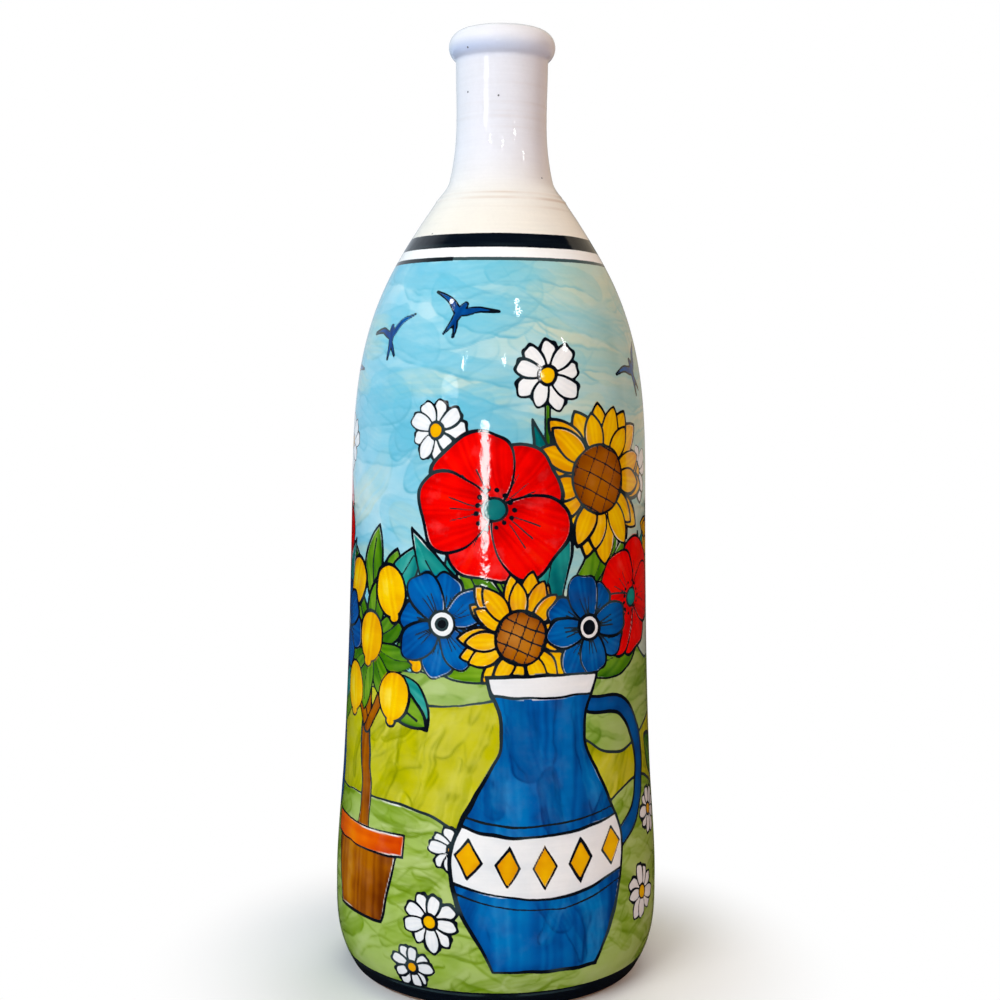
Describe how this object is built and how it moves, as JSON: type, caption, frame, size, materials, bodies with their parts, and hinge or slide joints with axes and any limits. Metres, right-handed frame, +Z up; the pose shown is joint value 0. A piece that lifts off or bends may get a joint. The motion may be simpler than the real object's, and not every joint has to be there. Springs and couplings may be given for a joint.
{
  "type": "bottle vase",
  "caption": "Tall bottle-shaped ceramic vase: rounded body, sloping shoulder, narrow neck, rolled lip. Glazed inside and out, painted all round; stands on a foot ring and holds water and stems.",
  "frame": {"origin": "centre of the flat face that the foot ring stands on", "axes": "+Z up along the vase's turning axis, towards the mouth; -Y is the side the picture shows"},
  "size_m": [0.152, 0.152, 0.4357],
  "materials": {
    "clay": "bare fired earthenware, matt",
    "slip": "fired joining slip, matt",
    "painted_glaze": "glossy white tin glaze, hand painted",
    "lining_glaze": "glossy white glaze, unpainted"
  },
  "bodies": {
    "root": {"foot_ring": "clay", "foot_slip": "slip", "lower_body": "clay", "body_slip": "slip", "upper_body": "clay", "neck_slip": "slip", "neck": "clay", "lip_slip": "slip", "lip_ring": "clay", "outer_glaze": "painted_glaze", "inner_glaze": "lining_glaze"}
  },
  "joints": []
}
